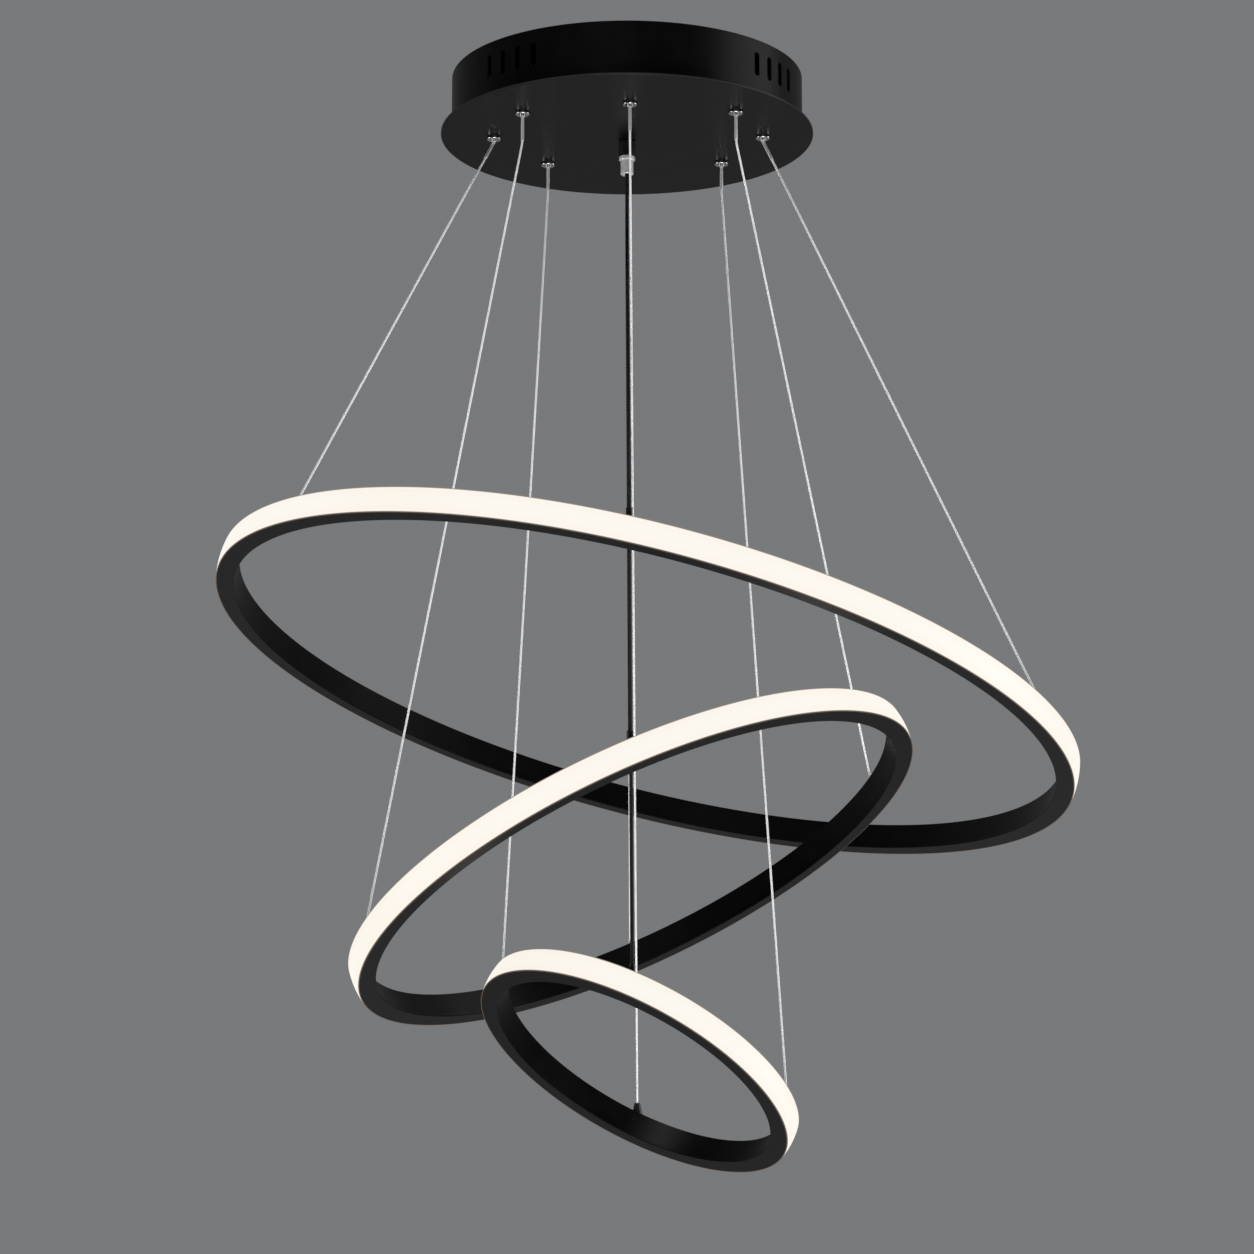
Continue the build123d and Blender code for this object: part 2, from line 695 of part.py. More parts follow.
    # Plumb sleeve that leads the power cable through the top flange
    sleeve_length = sleeve_height + sleeve_tail
    with BuildPart() as sleeve:
        with Locations(sleeve_axis.offset(sleeve_height)):
            Cylinder(sleeve_diameter / 2, sleeve_length, align=hanging)
            Cylinder(cable_radius + seat_gap, sleeve_length, align=hanging, mode=Mode.SUBTRACT)
    keep(sleeve, f"{ring.name}_cable_sleeve")
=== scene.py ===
import json
import math

import bpy
from mathutils import Matrix, Vector

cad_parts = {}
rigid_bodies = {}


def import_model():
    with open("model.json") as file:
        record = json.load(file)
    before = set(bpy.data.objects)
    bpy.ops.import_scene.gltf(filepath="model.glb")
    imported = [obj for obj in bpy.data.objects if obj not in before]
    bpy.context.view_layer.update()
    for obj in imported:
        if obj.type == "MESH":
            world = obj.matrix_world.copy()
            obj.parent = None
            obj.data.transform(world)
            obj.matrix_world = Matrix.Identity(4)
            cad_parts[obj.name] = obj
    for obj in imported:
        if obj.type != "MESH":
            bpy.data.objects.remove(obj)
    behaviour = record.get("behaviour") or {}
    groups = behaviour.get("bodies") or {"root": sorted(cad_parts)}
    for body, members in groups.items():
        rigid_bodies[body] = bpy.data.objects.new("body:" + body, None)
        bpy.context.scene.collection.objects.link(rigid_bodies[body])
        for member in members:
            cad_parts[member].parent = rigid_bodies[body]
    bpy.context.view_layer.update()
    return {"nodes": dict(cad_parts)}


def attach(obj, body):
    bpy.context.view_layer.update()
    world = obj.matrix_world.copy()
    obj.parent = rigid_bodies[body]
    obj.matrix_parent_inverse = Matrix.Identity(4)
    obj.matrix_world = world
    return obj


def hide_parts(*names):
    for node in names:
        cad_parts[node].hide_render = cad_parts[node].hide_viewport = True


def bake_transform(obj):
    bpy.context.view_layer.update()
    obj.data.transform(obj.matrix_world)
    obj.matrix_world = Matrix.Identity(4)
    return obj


for stray in list(bpy.data.objects):
    bpy.data.objects.remove(stray)

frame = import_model()
scene = bpy.context.scene
print("frame loaded:", len(frame["nodes"]), "nodes")


# shader maths: a Signal is one socket of a node, and expressions on it add Math nodes
class Signal:
    def __init__(self, finish, socket):
        self.finish = finish
        self.socket = socket

    def maths(self, operation, first, second):
        return self.finish.node("Math", {"operation": operation}, {0: first, 1: second})

    def __add__(self, other):
        return self.maths("ADD", self, other)

    def __radd__(self, other):
        return self.maths("ADD", other, self)

    def __sub__(self, other):
        return self.maths("SUBTRACT", self, other)

    def __rsub__(self, other):
        return self.maths("SUBTRACT", other, self)

    def __mul__(self, other):
        return self.maths("MULTIPLY", self, other)

    def __rmul__(self, other):
        return self.maths("MULTIPLY", other, self)

    def __truediv__(self, other):
        return self.maths("DIVIDE", self, other)

    def __rtruediv__(self, other):
        return self.maths("DIVIDE", other, self)

    def __abs__(self):
        return self.maths("ABSOLUTE", self, 0.0)

    def sine(self):
        return self.maths("SINE", self, 0.0)

    def larger(self, other):
        return self.maths("MAXIMUM", self, other)


class Finish:
    def __init__(self, tree):
        self.tree = tree
        tree.nodes.clear()

    # the one way to add a node: type, settings (set first), then values or links of its sockets
    def node(self, kind, settings=None, sockets=None, output=0):
        made = self.tree.nodes.new("ShaderNode" + kind)
        for key, value in (settings or {}).items():
            if key == "stops":
                ramp = made.color_ramp.elements
                for place, colour in value[len(ramp):]:
                    ramp.new(place)
                for stop, (place, colour) in zip(ramp, value):
                    stop.position = place
                    stop.color = colour
            else:
                setattr(made, key, value)
        for key, value in (sockets or {}).items():
            if isinstance(value, Signal):
                self.tree.links.new(value.socket, made.inputs[key])
            else:
                made.inputs[key].default_value = value
        return Signal(self, made.outputs[output]) if made.outputs else None

    def objectPlace(self):
        return self.node("TexCoord", output="Object")

    def uvPlace(self):
        return self.node("TexCoord", output="UV")

    def upFacing(self):
        return self.split(self.node("NewGeometry", output="Normal"), "Z")

    def split(self, vector, axis):
        return self.node("SeparateXYZ", None, {"Vector": vector}, axis)

    def noise(self, place, scale, detail, roughness=0.5):
        sockets = {"Vector": place, "Scale": scale, "Detail": detail, "Roughness": roughness}
        return self.node("TexNoise", None, sockets)

    def ramp(self, value, low, high):
        stops = [(low, (0.0, 0.0, 0.0, 1.0)), (high, (1.0, 1.0, 1.0, 1.0))]
        return self.node("ValToRGB", {"stops": stops}, {0: value})

    # a Mix node's colour sockets share their names with others, so they go by number
    def mixColour(self, factor, first, second):
        return self.node("Mix", {"data_type": "RGBA"}, {0: factor, 6: first, 7: second}, 2)

    def bump(self, height, strength, distance):
        return self.node("Bump", None, {"Strength": strength, "Distance": distance, "Height": height})

    def surface(self, sockets):
        shader = self.node("BsdfPrincipled", None, sockets)
        self.node("OutputMaterial", None, {"Surface": shader})


def newFinish(name):
    material = bpy.data.materials.new(name)
    material.use_nodes = True
    return material, Finish(material.node_tree)


# in the finishes a Noise is (scale, detail) or (scale, detail, roughness), and a Range is a ramp's two ends

# satin black powder coat: fine orange peel, uneven sheen, dust on what faces up; the plate's rim gets a
# painted highlight, a pale line of light painted along its edge
blackCoat = {
    "colour": (0.0017, 0.0017, 0.0017, 1.0),
    "thinColour": (0.0034, 0.0032, 0.0031, 1.0),
    "dustColour": (0.045, 0.043, 0.041, 1.0),
    "rimHighlightColour": (0.030, 0.030, 0.031, 1.0),
    "roughness": 0.36,
    "specular": 0.11,
    "cloudNoise": (38.0, 4.0, 0.6),
    "thinRange": (0.4, 0.75),
    "sheenSpread": 0.10,
    "peelNoise": (1300.0, 1.0),
    "peelStrength": 0.35,
    "peelHeight": 0.00002,
    "dust": 0.18,
    "facingRange": (0.55, 0.95),
    "dustCloudRange": (0.35, 0.7),
    "dustLeast": 0.35,
    "dustRoughness": 0.3,
    "speckNoise": (900.0, 3.0, 0.7),
    "speckRange": (0.68, 0.78),
    "rim": 0.1291,
    "rimHighlightSharpness": 200.0,
    "rimHighlightRange": (0.0, 0.8),
    "rimHighlightLeast": 0.6,
}


def makeBlackCoat(name, paintedRimHighlight):
    material, finish = newFinish(name)
    place = finish.objectPlace()
    cloud = finish.noise(place, *blackCoat["cloudNoise"])
    peel = finish.noise(place, *blackCoat["peelNoise"])
    specks = finish.ramp(finish.noise(place, *blackCoat["speckNoise"]), *blackCoat["speckRange"])
    settled = finish.ramp(finish.upFacing(), *blackCoat["facingRange"]) * blackCoat["dust"]
    dustCloud = (1.0 - blackCoat["dustLeast"]) * finish.ramp(cloud, *blackCoat["dustCloudRange"])
    dust = settled * (blackCoat["dustLeast"] + dustCloud) + specks * settled
    thin = finish.ramp(cloud, *blackCoat["thinRange"])
    paint = finish.mixColour(thin, blackCoat["colour"], blackCoat["thinColour"])
    # painted highlight: the colour is lightened towards the plate's outer edge, as a line of light along
    # its rim
    if paintedRimHighlight:
        across = finish.split(place, "X")
        deep = finish.split(place, "Y")
        reach = (across * across + deep * deep) / blackCoat["rim"] ** 2 - 1.0
        uneven = blackCoat["rimHighlightLeast"] + (1.0 - blackCoat["rimHighlightLeast"]) * cloud
        rimHighlight = finish.ramp(reach * blackCoat["rimHighlightSharpness"], *blackCoat["rimHighlightRange"]) * uneven
        paint = finish.mixColour(rimHighlight, paint, blackCoat["rimHighlightColour"])
    sheen = blackCoat["roughness"] + (cloud - 0.5) * blackCoat["sheenSpread"]
    finish.surface({
        "Base Color": finish.mixColour(dust, paint, blackCoat["dustColour"]),
        "Roughness": sheen + dust * blackCoat["dustRoughness"],
        "Specular IOR Level": blackCoat["specular"],
        "Normal": finish.bump(peel, blackCoat["peelStrength"], blackCoat["peelHeight"]),
    })
    return material


# opal diffuser, lit from behind: warm white face, then a pale line, and dim at both edges of its mouth
opalGlow = {
    "face": (0.940, 0.905, 0.845, 1.0),
    "warmFace": (0.915, 0.845, 0.735, 1.0),
    "line": (0.945, 0.912, 0.855, 1.0),
    "upperEdge": (0.25, 0.185, 0.14, 1.0),
    "lowerEdge": (0.090, 0.055, 0.032, 1.0),
    "body": (0.04, 0.039, 0.037, 1.0),
    "cloudyBody": (0.05, 0.049, 0.047, 1.0),
    "bodyShare": 0.3,
    "strength": 1.0,
    "girth": 0.0422,
    "faceHalf": 0.0068,
    "lineHalf": 0.0078,
    "edgeHalf": 0.0087,
    "lowerRange": (0.49, 0.51),
    "warmRange": (0.45, 1.0),
    "lineRange": (0.0, 1.0),
    "edgeRange": (0.4, 1.0),
    "warmShare": 0.4,
    "lineShare": 0.7,
    "cloudNoise": (26.0, 2.0),
    "cloudShare": 0.1,
    "driftNoise": (5.0, 1.0),
    "driftRange": (0.45, 0.75),
    "driftShare": 0.45,
    "roughness": 0.42,
    "sheenSpread": 0.08,
    "specular": 0.06,
    "grainNoise": (2200.0, 1.0),
    "grainStrength": 0.1,
    "grainHeight": 0.00001,
}


def makeOpalGlow():
    material, finish = newFinish("opalGlow")
    place = finish.objectPlace()
    halfGirth = opalGlow["girth"] / 2
    faceHalf, lineHalf, edgeHalf = [opalGlow[key] for key in ("faceHalf", "lineHalf", "edgeHalf")]
    travel = finish.split(finish.uvPlace(), "Y")  # runs round the cut, from the middle of the face
    height = halfGirth - abs(travel - halfGirth)
    lower = finish.ramp(travel / opalGlow["girth"], *opalGlow["lowerRange"])
    toWarm = finish.ramp(height / faceHalf, *opalGlow["warmRange"])
    toLine = finish.ramp((height - faceHalf) / (lineHalf - faceHalf), *opalGlow["lineRange"])
    toEdge = finish.ramp((height - lineHalf) / (edgeHalf - lineHalf), *opalGlow["edgeRange"])
    cloud = finish.noise(place, *opalGlow["cloudNoise"])
    drift = finish.ramp(finish.noise(place, *opalGlow["driftNoise"]), *opalGlow["driftRange"])
    uneven = opalGlow["driftShare"] * drift + opalGlow["cloudShare"] * cloud
    warmth = uneven + opalGlow["warmShare"] * toWarm
    face = finish.mixColour(warmth, opalGlow["face"], opalGlow["warmFace"])
    lined = finish.mixColour(opalGlow["lineShare"] * toLine, face, opalGlow["line"])
    edge = finish.mixColour(lower, opalGlow["upperEdge"], opalGlow["lowerEdge"])
    body = finish.mixColour(opalGlow["bodyShare"] * cloud, opalGlow["body"], opalGlow["cloudyBody"])
    grain = finish.noise(place, *opalGlow["grainNoise"])
    finish.surface({
        "Base Color": body,
        "Roughness": opalGlow["roughness"] + opalGlow["sheenSpread"] * (cloud - 0.5),
        "Specular IOR Level": opalGlow["specular"],
        "Emission Color": finish.mixColour(toEdge, lined, edge),
        "Emission Strength": opalGlow["strength"],
        "Normal": finish.bump(grain, opalGlow["grainStrength"], opalGlow["grainHeight"]),
    })
    return material


# bright chrome with faint turning marks, and the softer plating of the gland's cap
brightChrome = {
    "colour": (0.50, 0.50, 0.51, 1.0),
    "dull": (0.40, 0.40, 0.42, 1.0),
    "dullShare": 0.25,
    "metallic": 1.0,
    "roughness": 0.08,
    "haze": 0.05,
    "hazeRange": (0.45, 0.8),
    "cloudNoise": (420.0, 3.0, 0.6),
    "marks": 2600.0,
    "markWobble": 4.0,
    "markStrength": 0.02,
    "markHeight": 0.000005,
}
softChrome = {**brightChrome, "colour": (0.90, 0.90, 0.91, 1.0), "metallic": 0.5, "roughness": 0.24}


def makeChrome(name, plating):
    material, finish = newFinish(name)
    place = finish.objectPlace()
    cloud = finish.noise(place, *plating["cloudNoise"])
    turning = finish.split(place, "Z") * plating["marks"] * math.tau
    marks = (turning + plating["markWobble"] * cloud).sine()
    finish.surface({
        "Base Color": finish.mixColour(plating["dullShare"] * cloud, plating["colour"], plating["dull"]),
        "Metallic": plating["metallic"],
        "Roughness": plating["roughness"] + plating["haze"] * finish.ramp(cloud, *plating["hazeRange"]),
        "Normal": finish.bump(marks, plating["markStrength"], plating["markHeight"]),
    })
    return material


# twisted steel rope: strands run round the wire, fine wires inside each strand, and the grooves between
# strands darkened with painted shade
steelRope = {
    "crown": (0.90, 0.89, 0.88, 1.0),
    "worn": (0.82, 0.81, 0.80, 1.0),
    "grooveShade": (0.80, 0.795, 0.79, 1.0),
    "wornShare": 0.45,
    "grooveShadeRange": (0.02, 0.35),
    "strands": 12.0,
    "fineWires": 5.0,
    "layLength": 0.0115,
    "metallic": 0.2,
    "roughness": 0.46,
    "tarnishNoise": (160.0, 3.0),
    "tarnishRoughness": 0.15,
    "fineHeight": 0.15,
    "strandStrength": 0.02,
    "strandHeight": 0.00003,
}


def makeSteelRope():
    material, finish = newFinish("steelRope")
    place = finish.uvPlace()
    strandsPerMetre = steelRope["strands"] / steelRope["layLength"]
    turn = finish.split(place, "X") * steelRope["strands"] + finish.split(place, "Y") * strandsPerMetre
    strand = 0.5 + 0.5 * (turn * math.tau).sine()
    fine = 0.5 + 0.5 * (turn * (math.tau * steelRope["fineWires"])).sine()
    tarnish = finish.noise(finish.objectPlace(), *steelRope["tarnishNoise"])
    # painted shade: the colour darkens in the grooves between strands, as shade would fall there
    crown = finish.ramp(strand, *steelRope["grooveShadeRange"])
    bright = finish.mixColour(steelRope["wornShare"] * tarnish, steelRope["crown"], steelRope["worn"])
    lay = strand + steelRope["fineHeight"] * fine
    finish.surface({
        "Base Color": finish.mixColour(crown, steelRope["grooveShade"], bright),
        "Metallic": steelRope["metallic"],
        "Roughness": steelRope["roughness"] + steelRope["tarnishRoughness"] * tarnish,
        "Normal": finish.bump(lay, steelRope["strandStrength"], steelRope["strandHeight"]),
    })
    return material


# zinc plated steel: pale blue-grey with cloudy patches and rolling lines
zincPlate = {
    "colour": (0.72, 0.72, 0.72, 1.0),
    "cloudy": (0.55, 0.555, 0.565, 1.0),
    "cloudNoise": (70.0, 4.0, 0.6),
    "cloudRange": (0.3, 0.75),
    "metallic": 0.4,
    "roughness": 0.33,
    "sheenSpread": 0.25,
    "sheenMiddle": 0.4,
    "lines": 5200.0,
    "lineWobble": 3.0,
    "lineStrength": 0.06,
    "lineHeight": 0.00001,
}


def makeZincPlate():
    material, finish = newFinish("zincPlate")
    place = finish.objectPlace()
    cloud = finish.noise(place, *zincPlate["cloudNoise"])
    patches = finish.ramp(cloud, *zincPlate["cloudRange"])
    lines = (finish.split(place, "Y") * zincPlate["lines"] + zincPlate["lineWobble"] * cloud).sine()
    finish.surface({
        "Base Color": finish.mixColour(patches, zincPlate["colour"], zincPlate["cloudy"]),
        "Metallic": zincPlate["metallic"],
        "Roughness": zincPlate["roughness"] + zincPlate["sheenSpread"] * (cloud - zincPlate["sheenMiddle"]),
        "Normal": finish.bump(lines, zincPlate["lineStrength"], zincPlate["lineHeight"]),
    })
    return material


# grained finishes, worn in cloudy patches: cable sheath, black plastic and steel fittings, white mouldings
cableSheath = {
    "colour": (0.005, 0.005, 0.0052, 1.0),
    "worn": (0.014, 0.0135, 0.013, 1.0),
    "cloudNoise": (120.0, 3.0, 0.6),
    "wornRange": (0.5, 0.8),
    "metallic": 0.0,
    "specular": 0.25,
    "roughness": 0.46,
    "sheenSpread": 0.16,
    "sheenMiddle": 0.5,
    "grainNoise": (2400.0, 1.0),
    "grainStrength": 0.25,
    "grainHeight": 0.00002,
}
blackMoulding = {
    "colour": (0.006, 0.006, 0.0062, 1.0),
    "worn": (0.020, 0.019, 0.018, 1.0),
    "cloudNoise": (300.0, 4.0, 0.65),
    "wornRange": (0.55, 0.8),
    "metallic": 0.0,
    "specular": 0.3,
    "roughness": 0.34,
    "sheenSpread": 0.2,
    "sheenMiddle": 0.4,
    "grainNoise": (3200.0, 2.0),
    "grainStrength": 0.2,
    "grainHeight": 0.000015,
}
blackenedSteel = {**blackMoulding, "metallic": 0.6}
whiteMoulding = {
    "colour": (0.60, 0.60, 0.575, 1.0),
    "worn": (0.52, 0.50, 0.45, 1.0),
    "cloudNoise": (45.0, 4.0, 0.6),
    "wornRange": (0.35, 0.8),
    "metallic": 0.0,
    "specular": 0.5,
    "roughness": 0.42,
    "sheenSpread": 0.15,
    "sheenMiddle": 0.5,
    "grainNoise": (1800.0, 1.0),
    "grainStrength": 0.3,
    "grainHeight": 0.00003,
}


def makeGrained(name, skin):
    material, finish = newFinish(name)
    place = finish.objectPlace()
    cloud = finish.noise(place, *skin["cloudNoise"])
    worn = finish.ramp(cloud, *skin["wornRange"])
    grain = finish.noise(place, *skin["grainNoise"])
    finish.surface({
        "Base Color": finish.mixColour(worn, skin["colour"], skin["worn"]),
        "Metallic": skin["metallic"],
        "Roughness": skin["roughness"] + skin["sheenSpread"] * (cloud - skin["sheenMiddle"]),
        "Specular IOR Level": skin["specular"],
        "Normal": finish.bump(grain, skin["grainStrength"], skin["grainHeight"]),
    })
    return material


# LED board: white solder resist with a faint weave
ledBoard = {
    "colour": (0.66, 0.65, 0.60, 1.0),
    "thread": (0.56, 0.55, 0.49, 1.0),
    "threads": 9000.0,
    "threadDepth": 0.25,
    "roughness": 0.36,
    "sheenSpread": 0.1,
    "weaveStrength": 0.2,
    "weaveHeight": 0.00001,
}


def makeLedBoard():
    material, finish = newFinish("ledBoard")
    place = finish.objectPlace()
    across = (finish.split(place, "X") * ledBoard["threads"]).sine()
    upward = (finish.split(place, "Z") * ledBoard["threads"]).sine()
    weave = 0.5 + ledBoard["threadDepth"] * across + ledBoard["threadDepth"] * upward
    finish.surface({
        "Base Color": finish.mixColour(weave, ledBoard["colour"], ledBoard["thread"]),
        "Roughness": ledBoard["roughness"] + ledBoard["sheenSpread"] * (weave - 0.5),
        "Normal": finish.bump(weave, ledBoard["weaveStrength"], ledBoard["weaveHeight"]),
    })
    return material


finishes = {
    "black_paint": makeBlackCoat("satinBlackCoat", paintedRimHighlight=False),
    "opal": makeOpalGlow(),
    "chrome": makeChrome("brightChrome", brightChrome),
    "wire_steel": makeSteelRope(),
    "zinc": makeZincPlate(),
    "black_plastic": makeGrained("blackMoulding", blackMoulding),
    "black_steel": makeGrained("blackenedSteel", blackenedSteel),
    "black_cable": makeGrained("cableSheath", cableSheath),
    "white_plastic": makeGrained("whiteMoulding", whiteMoulding),
    "led_board": makeLedBoard(),
}
ownFinishes = {
    # the plate's coat carries the painted highlight along its rim
    "canopy_plate": makeBlackCoat("blackCoatRimHighlight", paintedRimHighlight=True),
    "cable_gland_cap": makeChrome("softChrome", softChrome),
}
print("finishes made:", len(finishes) + len(ownFinishes))

# the solids keep their slots and take these finishes
for name, node in frame["nodes"].items():
    for slot in node.material_slots:
        slot.material = ownFinishes.get(name, finishes[slot.material.name.split(".")[0]])


def addPiece(name, mesh, body, slotName, nodes):
    piece = bpy.data.objects.new(name, mesh)
    scene.collection.objects.link(piece)
    mesh.materials.append(finishes[slotName])
    if body:
        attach(piece, body)
    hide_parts(*nodes)
    return piece


def smoothMesh(name, points, faces, unwrapped):
    mesh = bpy.data.meshes.new(name)
    mesh.from_pydata(points, [], faces)
    layer = mesh.uv_layers.new(name="unwrapped")
    for loop, spot in zip(layer.data, unwrapped):
        loop.uv = spot
    mesh.shade_smooth()
    return mesh


# the four corners that one face takes in the unwrapped sheet
def unwrappedFace(step, steps, travel, index):
    left, right = step / steps, (step + 1) / steps
    near, far = travel[index], travel[index + 1]
    return [(left, near), (right, near), (right, far), (left, far)]


# turned pieces: closed outlines of (radius, height, edge rounding), each swept round its spots' Z axes
# in their dictionaries bores, sockets and pockets are radii, and outer sizes are diameters
turned = {"arcSteps": 4, "core": 0.0001}

# edge roundings that the small turned pieces share
hairEdge = 0.00003
fineEdge = 0.00005
smallEdge = 0.0001
softEdge = 0.0002


def roundedOutline(corners):
    outline = []
    for index, (radius, height, rounding) in enumerate(corners):
        here = Vector((radius, height))
        before = (here - Vector(corners[index - 1][:2])).normalized()
        after = (Vector(corners[(index + 1) % len(corners)][:2]) - here).normalized()
        turn = math.atan2(before.x * after.y - before.y * after.x, before.dot(after))
        side = math.copysign(1.0, turn)
        start = here - before * (rounding * math.tan(abs(turn) / 2))
        first = Vector((before.y, -before.x))
        centre = start - first * (side * rounding)
        for step in range(turned["arcSteps"] + 1):
            normal = Matrix.Rotation(turn * step / turned["arcSteps"], 2) @ first
            outline.append((centre + normal * (side * rounding), normal))
    return outline


def turnedMesh(name, segments, corners, spots):
    points, normals, faces, unwrapped = [], [], [], []
    outline = roundedOutline(corners)
    count = len(outline)
    travel = [0.0]
    for index in range(count):
        travel.append(travel[-1] + (outline[(index + 1) % count][0] - outline[index][0]).length)
    for spot in spots:
        base = len(points)
        for segment in range(segments):
            angle = math.tau * segment / segments
            across = Vector((math.cos(angle), math.sin(angle), 0.0))
            for corner, normal in outline:
                points.append(spot @ (across * corner.x + Vector((0, 0, corner.y))))
                normals.append(spot.to_3x3() @ (across * normal.x + Vector((0, 0, normal.y))))
            here = base + segment * count
            following = base + (segment + 1) % segments * count
            for index in range(count):
                ahead = (index + 1) % count
                faces.append([here + index, following + index, following + ahead, here + ahead])
                unwrapped += unwrappedFace(segment, segments, travel, index)
    mesh = smoothMesh(name, points, faces, unwrapped)
    mesh.normals_split_custom_set_from_vertices(normals)
    return mesh


# a pin with a blind hole in its head; the core is the pinprick left open on its axis
def pinOutline(radius, foot, head, edge, bore, floor):
    return [
        (turned["core"], foot, hairEdge),
        (radius, foot, smallEdge),
        (radius, head, edge),
        (bore, head, fineEdge),
        (bore, floor, fineEdge),
        (turned["core"], floor, hairEdge),
    ]


# the ring profile: channel, and the diffuser plugged into its mouth, with the rounding of their edges
profile = {
    "height": 0.018,
    "depth": 0.012,
    "flange": 0.0014,
    "web": 0.0015,
    "recess": 0.0008,
    "lip": 0.002,
    "crown": 0.0015,
    "domeEdge": 0.0005,
    "domeSteps": 5,
    "domeRounding": 0.0012,
    "plug": 0.0026,
    "gap": 0.0001,
    "topRounding": 0.0003,
    "bottomRounding": 0.00051,
    "flangeRounding": 0.00018,
    "mouthRounding": 0.00012,
    "cornerRounding": 0.00015,
    "lensRounding": 0.00024,
    "seatRounding": 0.00009,
    "anchorReach": 0.004,
    "segments": 288,
}
ringTop = profile["height"] / 2

# the three rings as they hang: level, sideways shift and tilts
# each cable: its angle on the ring, how far back it leaves the gland, and its length
# each wire: its gripper's place, angle on the ring, length, and how its guide tube stands
rings = {
    "ring_1": {
        "diameter": 0.600, "drop": 0.4295, "shift": 0.0123, "sideTilt": 14.3, "frontTilt": -5.3,
        "cableAngle": 266.0, "cablePlace": 0.0084, "cableLength": 0.5003,
        "wires": {
            "left": ((-0.0926, 0.0002), 214.9, 0.3910, "leaning"),
            "right": ((0.0945, -0.0019), 332.1, 0.5063, "leaning"),
            "rear": ((0.0, 0.055), 91.2, 0.4940, "plumb"),
        },
    },
    "ring_2": {
        "diameter": 0.410, "drop": 0.5535, "shift": 0.0040, "sideTilt": -24.6, "frontTilt": -8.8,
        "cableAngle": 274.5, "cablePlace": 0.011, "cableLength": 0.5399,
        "wires": {
            "left": ((-0.0716, -0.0533), 200.7, 0.6030, "plumb"),
            "right": ((0.0746, -0.0554), 24.7, 0.4952, "plumb"),
            "rear": ((0.0, 0.031), 93.4, 0.5846, "plumb"),
        },
    },
    "ring_3": {
        "diameter": 0.230, "drop": 0.6894, "shift": 0.0079, "sideTilt": 27.7, "frontTilt": -15.1,
        "cableAngle": 257.1, "cablePlace": 0.0136, "cableLength": 0.6363,
        "wires": {
            "left": ((-0.0558, 0.057), 177.6, 0.6165, "plumb"),
            "right": ((0.0667, 0.0549), 338.1, 0.7073, "plumb"),
            "rear": ((0.002, -0.0732), 85.1, 0.7160, "plumb"),
        },
    },
}
for ring in rings.values():
    sideTurn = Matrix.Rotation(math.radians(ring["sideTilt"]), 4, "Y")
    frontTurn = Matrix.Rotation(math.radians(ring["frontTilt"]), 4, "X")
    ring["hang"] = Matrix.Translation((ring["shift"], 0, -ring["drop"])) @ sideTurn @ frontTurn
    ring["rim"] = ring["diameter"] / 2 - profile["crown"]
    ring["inside"] = ring["rim"] - profile["depth"]
    ring["wall"] = ring["inside"] + profile["recess"]
    ring["anchor"] = ring["wall"] + profile["web"] + profile["anchorReach"]


def onRing(ring, angle):
    across = Vector((math.cos(math.radians(angle)), math.sin(math.radians(angle)), 0.0))
    return ring["hang"] @ (across * ring["anchor"] + Vector((0, 0, ringTop)))


def inLine(spot, direction):
    return Matrix.Translation(spot) @ Vector(direction).to_track_quat("Z", "Y").to_matrix().to_4x4()


# camera at the photograph's viewpoint, for a square picture
camera = {
    "place": (0.0, -3.3118, -1.1646),
    "pitch": 13.14,
    "focalPixels": 5000.0,
    "picturePixels": 1254.0,
    "sensor": 36.0,
    "nearest": 0.05,
    "farthest": 100.0,
}
lens = bpy.data.cameras.new("camera")
lens.sensor_width = camera["sensor"]
lens.lens = camera["sensor"] * camera["focalPixels"] / camera["picturePixels"]
lens.clip_start = camera["nearest"]
lens.clip_end = camera["farthest"]
viewer = bpy.data.objects.new("camera", lens)
viewer.location = camera["place"]
viewer.rotation_euler = (math.radians(90.0 + camera["pitch"]), 0.0, 0.0)
scene.collection.objects.link(viewer)
scene.camera = viewer
print("camera placed")

# cords: the route's points are the control points of one smooth line, and the tube follows that line
cord = {"curveSteps": 14, "curveOrder": 3, "sharpAngle": 60.0}


def smoothLine(route):
    curve = bpy.data.curves.new("route", "CURVE")
    curve.dimensions = "3D"
    curve.resolution_u = cord["curveSteps"]
    spline = curve.splines.new("NURBS")
    spline.points.add(len(route) - 1)
    for point, spot in zip(spline.points, route):
        point.co = (*spot, 1.0)
    spline.order_u = cord["curveOrder"]
    spline.use_endpoint_u = True
    holder = bpy.data.objects.new("route", curve)
    line = bpy.data.meshes.new_from_object(holder)
    spots = [vertex.co.copy() for vertex in line.vertices]
    bpy.data.objects.remove(holder)
    bpy.data.curves.remove(curve)
    bpy.data.meshes.remove(line)
    return spots


def tubeMesh(name, line, radius, sides):
    points, faces, unwrapped, travel = [], [], [], [0.0]
    across = Vector((0, 1, 0))
    for index, spot in enumerate(line):
        ahead = (line[min(index + 1, len(line) - 1)] - line[max(index - 1, 0)]).normalized()
        across = (across - ahead * across.dot(ahead)).normalized()
        beside = ahead.cross(across)
        for side in range(sides):
            angle = math.tau * side / sides
            points.append(spot + (across * math.cos(angle) + beside * math.sin(angle)) * radius)
        if index:
            travel.append(travel[-1] + (spot - line[index - 1]).length)
    for index in range(len(line) - 1):
        here, there = index * sides, (index + 1) * sides
        for side in range(sides):
            following = (side + 1) % sides
            faces.append([here + side, here + following, there + following, there + side])
            unwrapped += unwrappedFace(side, sides, travel, index)
    last = (len(line) - 1) * sides
    faces.append(list(reversed(range(sides))))
    faces.append([last + side for side in range(sides)])
    unwrapped += [(0.0, 0.0)] * (2 * sides)
    mesh = smoothMesh(name, points, faces, unwrapped)
    mesh.set_sharp_from_angle(angle=math.radians(cord["sharpAngle"]))
    return mesh
